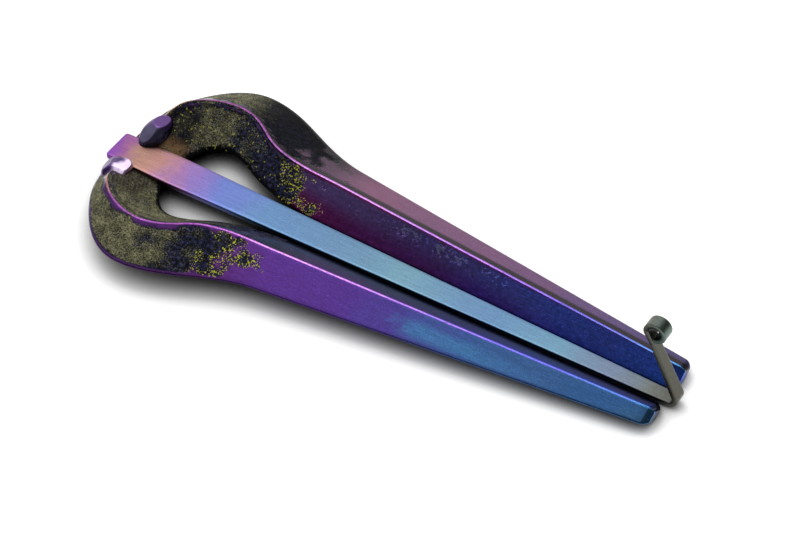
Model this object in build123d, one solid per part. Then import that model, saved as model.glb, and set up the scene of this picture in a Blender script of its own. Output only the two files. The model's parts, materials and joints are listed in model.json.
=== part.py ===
from build123d import *
import math
import os

# A forged jaw harp in two real pieces: a frame bent from one four-sided bar, and a spring-steel reed
# that is clinched into a seat filed across the crown of the frame's bow.
# Millimetres. X runs along the reed from its tail at 0, Y across it, and Z up from the reed's top face.
# The last step lays the finished harp on a table, with its lower edge flat on Z = 0.

# Reed: a tapered flat strip.
REED_THICKNESS = 0.7
REED_TAIL_WIDTH = 4.7
REED_ROOT_WIDTH = 5.0
REED_TIP_WIDTH = 2.0
REED_TAPER_START = 10.0
TAIL_CORNER_RADIUS = 0.35

# Flexing line of the reed, just clear of the ears that hold its root.
FLEX_X = 5.8
FLEX_GAP = 0.05

# Trigger: the reed's end, bent up, leaning back over the arms and rolled into an eye.
TRIGGER_CLEARANCE = 0.15
TRIGGER_BEND_RADIUS = 0.9
TRIGGER_LEAN = 26.0
TRIGGER_LENGTH = 10.0
TRIGGER_END_WIDTH = 1.65
EYE_HOLE_RADIUS = 0.8
EYE_TURN = 296.0

# Frame: half heights of the bar above and below the reed's top face, and its arms.
ARM_START = 30.0
ARM_END = 81.3
BOW_X = 11.7
BOW_HALF_HEIGHT = 2.97
TIP_HALF_HEIGHT = 1.31
ARM_GAP = 0.3
ARM_START_RIDGE_Y = 6.85
ARM_END_RIDGE_Y = 3.75
ARM_START_OUTER_Y = 12.35
ARM_END_OUTER_Y = 6.1
OUTER_EDGE_Z = 0.4
INNER_EDGE_Z = -0.35
RIDGE_RADIUS = 0.4
OUTER_EDGE_BEVEL = 0.25
TIP_BEVEL = 0.5
REST_LAND_DEPTH = 0.25

# Bow: each long edge leaves the crown, turns a corner, passes its widest point and rounds a shoulder
# to the arm. Corners and shoulders are set off from the widest point, along X and inwards.
# Headings are in degrees from +X.
BOW_HALF_WIDTH = 17.65
OUTER_CROWN_X = 1.0
OUTER_BOW_X = 12.6
OUTER_CORNER_BACK = 8.95
OUTER_CORNER_IN = 6.65
OUTER_CORNER_HEADING = 58.0
OUTER_SHOULDER_ON = 8.45
OUTER_SHOULDER_IN = 2.3
OUTER_SHOULDER_HEADING = -24.5
RIDGE_INSET = 6.0
RIDGE_CROWN_X = 2.95
RIDGE_CORNER_BACK = 6.2
RIDGE_CORNER_IN = 2.55
RIDGE_CORNER_HEADING = 45.0
RIDGE_SHOULDER_ON = 5.5
RIDGE_SHOULDER_IN = 2.2
RIDGE_SHOULDER_HEADING = -36.0
INNER_INSET = 11.15
INNER_CROWN_X = 8.35
INNER_BOW_X = 13.1
INNER_CORNER_BACK = 2.7
INNER_CORNER_IN = 1.9
INNER_CORNER_HEADING = 60.0
INNER_SHOULDER_ON = 5.1
INNER_SHOULDER_IN = 1.78
INNER_SHOULDER_HEADING = -26.0

# Seat and ears: the crown is ground low, and a lug on each side is hammered over the reed.
CROWN_RIDGE_Z = 0.3
CROWN_OUTER_Z = -0.4
CROWN_INNER_Z = -1.5
SEAT_CLEARANCE = 0.03
FLEX_RELIEF_ANGLE = 9.0
EAR_X = 3.55
EAR_WIDTH = 3.3
EAR_LENGTH = 4.9
EAR_OVERLAP = 1.15
EAR_HEIGHT = 1.6
EAR_SLOPE = 16.0
EAR_TURN = 15.0
EAR_DRAFT = 12.0
EAR_EDGE_RADIUS = 0.6

REED_BASE_Z = -REED_THICKNESS
REED_MIDDLE_Z = -REED_THICKNESS / 2
BEND_START_X = ARM_END + TRIGGER_CLEARANCE
FAR_OUT = 2 * (ARM_END + TRIGGER_LENGTH)


def half_height(x):
    """Half height of the bar, which tapers evenly from the bow to the tips."""
    fall = (BOW_HALF_HEIGHT - TIP_HALF_HEIGHT) / (ARM_END - BOW_X)
    return BOW_HALF_HEIGHT - fall * (x - BOW_X)


def reed_half_width(x):
    """Half width of the reed along its taper."""
    share = (x - REED_TAPER_START) / (BEND_START_X - REED_TAPER_START)
    width = REED_ROOT_WIDTH + share * (REED_TIP_WIDTH - REED_ROOT_WIDTH)
    return width / 2


def heading(degrees):
    """Level direction of a rail at a knot, from +X towards +Y."""
    turn = math.radians(degrees)
    return Vector(math.cos(turn), math.sin(turn), 0)


def rail(knots, tip):
    """One long edge of the half frame: a spline round the bow, then a straight line to the arm's tip."""
    points = [Vector(x, y, z) for x, y, z, turn in knots]
    tangents = [heading(turn) for x, y, z, turn in knots]
    end = Vector(*tip)
    tangents[-1] = (end - points[-1]).normalized()
    return Edge.make_spline(points, tangents=tangents), Edge.make_line(points[-1], end)


def ridge_rail(crown_z, side):
    """The upper (side 1) or lower (side -1) ridge of the bar."""
    bow_y = BOW_HALF_WIDTH - RIDGE_INSET
    corner_x = BOW_X - RIDGE_CORNER_BACK
    shoulder_x = BOW_X + RIDGE_SHOULDER_ON
    knots = [
        (RIDGE_CROWN_X, 0, crown_z, 90),
        (corner_x, bow_y - RIDGE_CORNER_IN, side * half_height(corner_x), RIDGE_CORNER_HEADING),
        (BOW_X, bow_y, side * half_height(BOW_X), 0),
        (shoulder_x, bow_y - RIDGE_SHOULDER_IN, side * half_height(shoulder_x), RIDGE_SHOULDER_HEADING),
        (ARM_START, ARM_START_RIDGE_Y, side * half_height(ARM_START), 0),
    ]
    return rail(knots, (ARM_END, ARM_END_RIDGE_Y, side * half_height(ARM_END)))


def outer_rail():
    """The outer edge of the bar."""
    corner = (OUTER_BOW_X - OUTER_CORNER_BACK, BOW_HALF_WIDTH - OUTER_CORNER_IN)
    shoulder = (OUTER_BOW_X + OUTER_SHOULDER_ON, BOW_HALF_WIDTH - OUTER_SHOULDER_IN)
    knots = [
        (OUTER_CROWN_X, 0, CROWN_OUTER_Z, 90),
        (*corner, OUTER_EDGE_Z, OUTER_CORNER_HEADING),
        (OUTER_BOW_X, BOW_HALF_WIDTH, OUTER_EDGE_Z, 0),
        (*shoulder, OUTER_EDGE_Z, OUTER_SHOULDER_HEADING),
        (ARM_START, ARM_START_OUTER_Y, OUTER_EDGE_Z, 0),
    ]
    return rail(knots, (ARM_END, ARM_END_OUTER_Y, OUTER_EDGE_Z))


def inner_rail():
    """The inner edge of the bar, which runs beside the reed along the arm."""
    start_y = reed_half_width(ARM_START) + ARM_GAP
    end_y = reed_half_width(ARM_END) + ARM_GAP
    bow_y = BOW_HALF_WIDTH - INNER_INSET
    knots = [
        (INNER_CROWN_X, 0, CROWN_INNER_Z, 90),
        (INNER_BOW_X - INNER_CORNER_BACK, bow_y - INNER_CORNER_IN, INNER_EDGE_Z, INNER_CORNER_HEADING),
        (INNER_BOW_X, bow_y, INNER_EDGE_Z, 0),
        (INNER_BOW_X + INNER_SHOULDER_ON, bow_y - INNER_SHOULDER_IN, INNER_EDGE_Z, INNER_SHOULDER_HEADING),
        (ARM_START, start_y, INNER_EDGE_Z, 0),
    ]
    return rail(knots, (ARM_END, end_y, INNER_EDGE_Z))


def long_edges(solid, low, high):
    """Edges longer than an arm's tip is wide, whose middles lie between two heights."""
    return [edge for edge in solid.edges() if edge.length > ARM_END_OUTER_Y and low < edge.center().Z < high]


def bar():
    """The bent bar: faces ruled between its four rails, mirrored about the reed's middle and closed."""
    rails = [
        ridge_rail(CROWN_RIDGE_Z, 1),
        outer_rail(),
        ridge_rail(-half_height(RIDGE_CROWN_X), -1),
        inner_rail(),
    ]
    faces = []
    for this, following in zip(rails, rails[1:] + rails[:1]):
        faces += [Face.make_surface_from_curves(a, b) for a, b in zip(this, following)]
    faces.append(Face(Wire.make_polygon([arm @ 1 for bow, arm in rails], close=True)))
    faces += [face.mirror(Plane.XZ) for face in faces]
    solid = Solid(Shell(faces))
    tips = solid.faces().filter_by(Axis.X).sort_by(Axis.X)[-2:]
    solid = solid.chamfer(TIP_BEVEL, None, tips.edges())
    solid = solid.fillet(RIDGE_RADIUS, long_edges(solid, TIP_HALF_HEIGHT / 2, BOW_HALF_HEIGHT * 1.1))
    solid = solid.fillet(RIDGE_RADIUS, long_edges(solid, -BOW_HALF_HEIGHT * 1.1, -TIP_HALF_HEIGHT / 2))
    return solid.chamfer(OUTER_EDGE_BEVEL, None, long_edges(solid, 0, TIP_HALF_HEIGHT / 2))


def slab(outline, half_width):
    """A side profile in XZ, drawn out to both sides of the reed's middle."""
    return extrude(Plane.XZ * outline, half_width, both=True)


def seat_cut():
    """The seat filed across the crown, and the slope beyond it that leaves the reed room to swing down."""
    half_width = REED_ROOT_WIDTH / 2 + SEAT_CLEARANCE
    run = INNER_BOW_X - FLEX_X
    drop = run * math.tan(math.radians(FLEX_RELIEF_ANGLE))
    outline = Polyline(
        (-FAR_OUT, REED_BASE_Z),
        (FLEX_X, REED_BASE_Z),
        (INNER_BOW_X, REED_BASE_Z - drop),
        (INNER_BOW_X, BOW_HALF_HEIGHT * 2),
        (-FAR_OUT, BOW_HALF_HEIGHT * 2),
        close=True,
    )
    return slab(make_face(outline), half_width)


def ear(side):
    """A lug of the crown beside the reed (side 1 far, -1 near), hammered over the reed's edge."""
    inner_end = REED_ROOT_WIDTH / 2 - EAR_OVERLAP
    outline = SlotOverall(EAR_LENGTH, EAR_WIDTH, rotation=90)
    lug = extrude(outline, EAR_HEIGHT + EAR_LENGTH - CROWN_INNER_Z, taper=EAR_DRAFT)
    top = Pos(0, 0, EAR_HEIGHT - CROWN_INNER_Z) * Rot(X=EAR_SLOPE)
    lug -= top * Pos(0, 0, FAR_OUT / 2) * Box(FAR_OUT, FAR_OUT, FAR_OUT)
    lug = fillet(lug.faces().sort_by(Axis.Z)[-1].edges(), EAR_EDGE_RADIUS)
    lug = Rot(Z=-EAR_TURN) * lug
    lug = Pos(EAR_X, inner_end + EAR_LENGTH / 2, CROWN_INNER_Z) * lug
    if side < 0:
        lug = mirror(lug, about=Plane.XZ)
    under_reed = Pos(EAR_X, 0, -FAR_OUT / 2) * Box(FAR_OUT, REED_ROOT_WIDTH + 2 * SEAT_CLEARANCE, FAR_OUT)
    return lug - under_reed


def frame():
    """The whole frame: bar, seat and both ears."""
    return bar() - seat_cut() + ear(1) + ear(-1)


def reed_plan():
    """The reed seen from above, with rounded tail corners and a parallel trigger."""
    tail = REED_TAIL_WIDTH / 2
    root = REED_ROOT_WIDTH / 2
    tip = REED_TIP_WIDTH / 2
    half = [(0, tail), (REED_TAPER_START, root), (BEND_START_X, tip), (BEND_START_X + TRIGGER_LENGTH, tip)]
    outline = half + [(x, -y) for x, y in reversed(half)]
    face = make_face(Polyline(*outline, close=True))
    return fillet(face.vertices().sort_by(Axis.X)[:2], TAIL_CORNER_RADIUS)


def tongue_profile():
    """Side view of the reed beyond its flexing line: blade, bend, trigger and rolled eye."""
    blade = Line((FLEX_X, REED_MIDDLE_Z), (BEND_START_X, REED_MIDDLE_Z))
    bend = JernArc(blade @ 1, blade % 1, TRIGGER_BEND_RADIUS, 90 + TRIGGER_LEAN)
    stem = Line(bend @ 1, bend @ 1 + (bend % 1) * TRIGGER_LENGTH)
    eye = JernArc(stem @ 1, stem % 1, EYE_HOLE_RADIUS + REED_THICKNESS / 2, -EYE_TURN)
    return trace(blade + bend + stem + eye, line_width=REED_THICKNESS)


def flex_disc(radius):
    """A disc on the reed's flexing line, in side view."""
    return Pos(FLEX_X, REED_MIDDLE_Z) * Circle(radius)


def trigger_front():
    """The trigger seen along the reed, narrowing from the blade to its eye."""
    eye_z = TRIGGER_LENGTH * math.cos(math.radians(TRIGGER_LEAN))
    root = REED_ROOT_WIDTH / 2
    tip = REED_TIP_WIDTH / 2
    end = TRIGGER_END_WIDTH / 2
    half = [(root, -REED_THICKNESS), (root, 0), (tip, 0), (end, eye_z), (end, eye_z + TRIGGER_LENGTH)]
    outline = half + [(-y, z) for y, z in reversed(half)]
    return make_face(Polyline(*outline, close=True))


def reed_tongue():
    """The swinging part of the reed, with a round end on the flexing line."""
    profile = tongue_profile() + flex_disc(REED_THICKNESS / 2)
    strip = slab(profile, REED_ROOT_WIDTH) & extrude(reed_plan(), FAR_OUT, both=True)
    return strip & extrude(Plane.YZ * trigger_front(), FAR_OUT, both=True)


def reed_root():
    """The clamped tail of the reed, hollowed to face the tongue's round end."""
    profile = Pos(FLEX_X / 2, REED_MIDDLE_Z) * Rectangle(FLEX_X, REED_THICKNESS)
    profile -= flex_disc(REED_THICKNESS / 2 + FLEX_GAP)
    return slab(profile, REED_ROOT_WIDTH) & extrude(reed_plan(), FAR_OUT, both=True)


def laid_on_table(pieces):
    """Turns the pieces until the frame's lower ridge is level, files its land flat and moves the origin."""
    fall = (BOW_HALF_HEIGHT - TIP_HALF_HEIGHT) / (ARM_END - BOW_X)
    tilt = Rot(Y=math.degrees(math.atan(fall)))
    turned = {name: tilt * piece for name, piece in pieces.items()}
    land_z = -half_height(0) * math.cos(math.atan(fall)) + REST_LAND_DEPTH
    below = Pos(0, 0, land_z - FAR_OUT / 2) * Box(2 * FAR_OUT, FAR_OUT, FAR_OUT)
    turned["frame"] = turned["frame"] - below
    box = Compound([piece for piece in turned.values()]).bounding_box()
    place = Pos(-box.center().X, -box.center().Y, -land_z)
    hinge = place * tilt * Pos(FLEX_X, 0, REED_MIDDLE_Z)
    print("flexing line at", tuple(round(v, 4) for v in hinge.position))
    return {name: place * piece for name, piece in turned.items()}


pieces = laid_on_table({"frame": frame(), "reed_root": reed_root(), "reed_tongue": reed_tongue()})
os.makedirs("parts", exist_ok=True)
for name, piece in pieces.items():
    export_step(piece, f"parts/{name}.step")
    print(name, len(piece.solids()), "solid,", round(piece.volume, 2), "mm3,", piece.bounding_box().size)
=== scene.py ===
# %% [markdown]
# # A forged jaw harp
# The harp is two pieces of steel: a frame bent from one bar, and a spring reed clinched across its crown.
# The imported model gives the fixed frame that everything here sits on.

# %% Load the imported model
import json
import math
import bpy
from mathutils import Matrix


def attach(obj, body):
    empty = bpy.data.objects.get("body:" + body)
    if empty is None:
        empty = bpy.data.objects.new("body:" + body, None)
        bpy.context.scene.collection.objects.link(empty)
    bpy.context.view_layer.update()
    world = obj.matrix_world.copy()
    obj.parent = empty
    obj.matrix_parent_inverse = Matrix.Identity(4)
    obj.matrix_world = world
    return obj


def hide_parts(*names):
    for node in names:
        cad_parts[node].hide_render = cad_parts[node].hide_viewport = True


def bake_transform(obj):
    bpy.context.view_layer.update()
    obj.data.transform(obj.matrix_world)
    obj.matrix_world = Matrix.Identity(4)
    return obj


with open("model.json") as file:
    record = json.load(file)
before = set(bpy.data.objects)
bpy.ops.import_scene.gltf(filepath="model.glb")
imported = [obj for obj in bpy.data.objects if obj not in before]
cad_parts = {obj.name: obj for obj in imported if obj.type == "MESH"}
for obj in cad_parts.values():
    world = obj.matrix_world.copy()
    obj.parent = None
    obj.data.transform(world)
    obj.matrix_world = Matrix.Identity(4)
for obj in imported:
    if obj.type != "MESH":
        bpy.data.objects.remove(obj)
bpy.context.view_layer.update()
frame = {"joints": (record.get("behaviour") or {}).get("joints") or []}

from types import SimpleNamespace

import bmesh
import bpy
from mathutils import Matrix, Vector, noise

# %% [markdown]
# ## Bench coordinates
# A maker would measure this harp from the reed's tail, in millimetres, with the reed's top face as zero. The
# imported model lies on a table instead, tipped until its lower edge is level. One matrix turns bench
# millimetres into the model's metres. It is anchored on the line where the reed flexes, as the joint has it.

# %% Bench to model
REED_THICKNESS = 0.7
FLEX_X = 5.8
BOW_X = 11.7
ARM_START = 30.0
ARM_END = 81.3
BOW_HALF_HEIGHT = 2.97
TIP_HALF_HEIGHT = 1.31
REST_LAND_DEPTH = 0.25

height_fall = (BOW_HALF_HEIGHT - TIP_HALF_HEIGHT) / (ARM_END - BOW_X)
flex_line = Vector(frame["joints"][0]["pos_m"])
turn = Matrix.Rotation(math.atan(height_fall), 4, "Y")
to_flex_line = Matrix.Translation((-FLEX_X, 0, REED_THICKNESS / 2))
bench = Matrix.Translation(flex_line) @ turn @ Matrix.Scale(0.001, 4) @ to_flex_line


def half_height(x):
    """Half height of the bar, which tapers evenly from the bow to the tips."""
    return BOW_HALF_HEIGHT - height_fall * (x - BOW_X)


print("flexing line, m:", [round(v, 4) for v in flex_line])

# %% [markdown]
# ## Camera
# The photograph's camera was worked out from the harp's own symmetry. The two arms mirror each other about
# the reed, which fixes the angles, and the way they close up fixes the distance. It looks down from the
# front right. The aim point is a place on the reed, in bench millimetres, with the pixel where the photo
# shows it.

# %% Camera
PHOTO_WIDTH = 800
PHOTO_HEIGHT = 533
FOCAL_PIXELS = 2806.9
AZIMUTH = math.radians(32.145)
ELEVATION = math.radians(46.62)
AIM_POINT = Vector((40, 0, 0))
AIM_PIXEL = (376.82, 262.41)
AIM_DISTANCE = 348.97
SENSOR_WIDTH = 36.0


def photo_camera():
    """Places the camera so that the aim point falls on its pixel, at its distance."""
    right = Vector((math.cos(AZIMUTH), math.sin(AZIMUTH), 0))
    away = Vector((-math.sin(AZIMUTH), math.cos(AZIMUTH), 0))
    back = math.sin(ELEVATION) * Vector((0, 0, 1)) - math.cos(ELEVATION) * away
    up = back.cross(right)
    aside = (AIM_PIXEL[0] - PHOTO_WIDTH / 2) / FOCAL_PIXELS
    above = (PHOTO_HEIGHT / 2 - AIM_PIXEL[1]) / FOCAL_PIXELS
    place = AIM_POINT - AIM_DISTANCE * (aside * right + above * up - back)
    data = bpy.data.cameras.new("camera")
    data.sensor_width = SENSOR_WIDTH
    data.lens = SENSOR_WIDTH * FOCAL_PIXELS / PHOTO_WIDTH
    camera = bpy.data.objects.new("camera", data)
    bpy.context.scene.collection.objects.link(camera)
    axes = Matrix((right, up, back)).transposed().to_4x4()
    camera.matrix_world = Matrix.Translation(bench @ place) @ turn @ axes
    return camera


bpy.context.scene.camera = photo_camera()
print("lens, mm:", round(bpy.context.scene.camera.data.lens, 1))

# %% [markdown]
# ## Frame: four rails
# The bar has four long edges: the ridge on top, the outer edge, the keel below and the inner edge beside the
# reed. Each is drawn as one line with a few knots: a point, its height and its heading. Between knots the
# line is a Bezier curve. Past the last knot of the bow the arm is straight. The ridge is filed flat under
# the reed.

# %% Rails
CURVE_PULL = 0.345
BOW_STEPS = 34
ARM_STEPS = 60
ARM_CROWDING = 1.3
TIP_BEVEL = 0.9
OUTER_HEIGHT = 0.4
INNER_HEIGHT = -0.35
RIDGE_TIP_Y = 3.75
OUTER_TIP_Y = 6.0
REED_TAIL_WIDTH = 4.7
REED_ROOT_WIDTH = 5.0
REED_TIP_WIDTH = 2.0
REED_TAPER_START = 10.0
BEND_START_X = 81.45
ARM_GAP = 0.3


def reed_half_width(x):
    """Half width of the reed along its taper."""
    share = (x - REED_TAPER_START) / (BEND_START_X - REED_TAPER_START)
    return (REED_ROOT_WIDTH + share * (REED_TIP_WIDTH - REED_ROOT_WIDTH)) / 2


def level(degrees):
    """A level direction, from +X towards +Y."""
    return Vector((math.cos(math.radians(degrees)), math.sin(math.radians(degrees)), 0))


def bow_curve(knots):
    """Points along a rail, with the same number of steps between each two knots."""
    points = []
    for (x0, y0, z0, h0), (x1, y1, z1, h1) in zip(knots, knots[1:]):
        start = Vector((x0, y0, z0))
        end = Vector((x1, y1, z1))
        pull = CURVE_PULL * (end - start).length
        leave = start + pull * level(h0)
        arrive = end - pull * level(h1)
        for step in range(BOW_STEPS):
            t = step / BOW_STEPS
            near = start.lerp(leave, t).lerp(leave.lerp(arrive, t), t)
            far = leave.lerp(arrive, t).lerp(arrive.lerp(end, t), t)
            points.append(near.lerp(far, t))
    return points


def rail(knots, tip):
    """A whole rail from the crown to the arm's tip, its steps on the arm closer together near the bow."""
    start = Vector(knots[-1][:3])
    share = 1 - TIP_BEVEL / (ARM_END - ARM_START)
    end = start.lerp(Vector(tip), share)
    arm = [start.lerp(end, (step / ARM_STEPS) ** ARM_CROWDING) for step in range(ARM_STEPS + 1)]
    return bow_curve(knots) + arm


RIDGE_KNOTS = [
    (2.95, 0, -0.8, 90),
    (5.5, 9.1, 3.12, 45),
    (BOW_X, 11.65, BOW_HALF_HEIGHT, 0),
    (17.2, 9.45, 2.84, -36),
    (ARM_START, 6.85, half_height(ARM_START), -3.5),
]
OUTER_KNOTS = [
    (1.0, 0, -0.4, 90),
    (3.65, 11.0, OUTER_HEIGHT, 58),
    (12.6, 17.55, OUTER_HEIGHT, 0),
    (21.05, 15.25, OUTER_HEIGHT, -24.5),
    (ARM_START, 12.25, OUTER_HEIGHT, -7.0),
]
INNER_KNOTS = [
    (8.35, 0, -1.5, 90),
    (10.4, 4.6, INNER_HEIGHT, 60),
    (13.1, 6.5, INNER_HEIGHT, 0),
    (18.2, 4.72, INNER_HEIGHT, -26),
    (ARM_START, reed_half_width(ARM_START) + ARM_GAP, INNER_HEIGHT, -1.2),
]
KEEL_KNOTS = [(x, y, -half_height(x), heading) for x, y, z, heading in RIDGE_KNOTS]
rails = [
    rail(RIDGE_KNOTS, (ARM_END, RIDGE_TIP_Y, TIP_HALF_HEIGHT)),
    rail(OUTER_KNOTS, (ARM_END, OUTER_TIP_Y, OUTER_HEIGHT)),
    rail(KEEL_KNOTS, (ARM_END, RIDGE_TIP_Y, -TIP_HALF_HEIGHT)),
    rail(INNER_KNOTS, (ARM_END, reed_half_width(ARM_END) + ARM_GAP, INNER_HEIGHT)),
]
SEAT_HALF_WIDTH = 2.6
SEAT_CLEARANCE = 0.03
SEAT_HEIGHT = -REED_THICKNESS - SEAT_CLEARANCE
for point in rails[0]:
    if point.y < SEAT_HALF_WIDTH:
        point.z = min(point.z, SEAT_HEIGHT)
print("stations along half the frame:", len(rails[0]))

# %% [markdown]
# ## Frame: the tips
# Each arm ends in a small filed rounding and a flat end. On the rails that is a few more stations, each a
# share of the rounding further on and a share smaller. The last one closes on the section's own middle. The
# setbacks say how far each long edge is rounded off: ridge, outer edge, keel and inner edge, first on the bow
# and then along the arms.

# %% Tip stations
BOW_SETBACK = [0.18, 0.34, 1.0, 0.5]
ARM_SETBACK = [0.16, 0.34, 1.0, 0.12]
TIP_ROUNDING = [(0.1, 0.01), (0.4, 0.08), (0.7, 0.19), (0.9, 0.31), (1.0, 0.38), (1.0, 0.42), (1.0, 1.0)]


def close_tip(rails):
    """Adds the bevelled end to the four rails, and returns how far each station has shrunk."""
    shrunk = [0.0] * len(rails[0])
    ends = [points[-1].copy() for points in rails]
    middle = sum(ends, Vector()) / len(ends)
    for forward, shrink in TIP_ROUNDING:
        for points, end in zip(rails, ends):
            points.append(end.lerp(middle, shrink) + Vector((TIP_BEVEL * forward, 0, 0)))
        shrunk.append(shrink)
    return shrunk


shrunk = close_tip(rails)


def rail_net(rails, shrunk):
    """The rails as loose points, corner by corner, each with the setback that rounds its corner."""
    mesh = bpy.data.meshes.new("frame_bar")
    mesh.from_pydata([point for points in rails for point in points], [], [])
    setback = mesh.attributes.new("setback", "FLOAT", "POINT")
    values = []
    for points, on_bow, on_arm in zip(rails, BOW_SETBACK, ARM_SETBACK):
        for point, shrink in zip(points, shrunk):
            share = min(1, max(0, (ARM_START - point.x) / (ARM_START - BOW_X)))
            values.append((on_arm + share * (on_bow - on_arm)) * (1 - shrink))
    setback.data.foreach_set("value", values)
    return mesh


net = rail_net(rails, shrunk)
print("rail points:", len(net.vertices))

# %% [markdown]
# ## Frame: the bar between the rails
# A smith draws the bar down between hammer and anvil, so its faces run straight from one edge to the next
# and its edges stay slightly round. The nodes do the same at each station: they look up a corner and its two
# neighbours, step back from the corner, round it, and go straight on to the next. One half is made and
# mirrored.

# %% Node helpers


def add_node(tree, kind, inputs, **settings):
    """Adds a node, sets its options, and fills its inputs with values or links."""
    made = tree.nodes.new(kind)
    for name, value in settings.items():
        setattr(made, name, value)
    for key, value in inputs.items():
        if isinstance(value, bpy.types.NodeSocket):
            tree.links.new(value, made.inputs[key])
        else:
            made.inputs[key].default_value = value
    return made


def maths(tree, operation, a, b=0.0, c=0.0, clamp=False):
    """One step of arithmetic."""
    made = add_node(tree, "ShaderNodeMath", {0: a, 1: b, 2: c}, operation=operation, use_clamp=clamp)
    return made.outputs[0]


def product(tree, first, *others):
    """Several values multiplied."""
    for other in others:
        first = maths(tree, "MULTIPLY", first, other)
    return first


def scaled(tree, value, factor, added):
    """A value times a factor, plus another."""
    return maths(tree, "MULTIPLY_ADD", value, factor, added)


def inverse(tree, value):
    """One less a value."""
    return maths(tree, "SUBTRACT", 1.0, value)


def larger(tree, a, b):
    """The larger of two values."""
    return maths(tree, "MAXIMUM", a, b)


def shifted(tree, value, cloud, amount):
    """A value pushed up and down by a noise about its middle."""
    return scaled(tree, maths(tree, "SUBTRACT", cloud, 0.5), amount, value)


def ramp_up(tree, value, low, high):
    """A smooth step from 0 at low to 1 at high."""
    inputs = {"Value": value, "From Min": low, "From Max": high, "To Min": 0.0, "To Max": 1.0}
    return add_node(tree, "ShaderNodeMapRange", inputs, interpolation_type="SMOOTHSTEP").outputs["Result"]


def band(tree, value, rise, full, fade, end):
    """A smooth band: from 0 at rise to 1 at full, and from 1 at fade back to 0 at end."""
    return product(tree, ramp_up(tree, value, rise, full), ramp_up(tree, value, end, fade))


def noise_at(tree, place, scale, detail=3.0):
    """A cloudy value from 0 to 1."""
    inputs = {"Vector": place, "Scale": scale, "Detail": detail}
    return add_node(tree, "ShaderNodeTexNoise", inputs).outputs[0]


def coordinates(tree, place):
    """The three coordinates of a place."""
    return add_node(tree, "ShaderNodeSeparateXYZ", {0: place}).outputs


def vectors(tree, operation, a, b=(0, 0, 0), result="Vector"):
    """One step of vector arithmetic."""
    return add_node(tree, "ShaderNodeVectorMath", {0: a, 1: b}, operation=operation).outputs[result]


def stretched(tree, a, amount):
    """A vector made longer or shorter."""
    made = add_node(tree, "ShaderNodeVectorMath", {0: a, "Scale": amount}, operation="SCALE")
    return made.outputs["Vector"]


def between(tree, a, b, share):
    """The point a share of the way from one point to another."""
    return vectors(tree, "ADD", a, stretched(tree, vectors(tree, "SUBTRACT", b, a), share))


# %% Bar nodes: one half of the bar
CORNERS = 4
CORNER_STEPS = 5
FACE_STEPS = 13
FAR_FROM_RIDGE = 9.0
OUTER_WEAR = 3.0
SEAM_WIDTH = 0.002


def kept_field(tree, name):
    """A value kept on the points."""
    return add_node(tree, "GeometryNodeInputNamedAttribute", {"Name": name}, data_type="FLOAT").outputs[0]


def keep(tree, geometry, **fields):
    """Keeps fields as attributes of the points."""
    for name, value in fields.items():
        inputs = {"Geometry": geometry, "Name": name, "Value": value}
        geometry = add_node(tree, "GeometryNodeStoreNamedAttribute", inputs, data_type="FLOAT").outputs[0]
    return geometry


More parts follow.
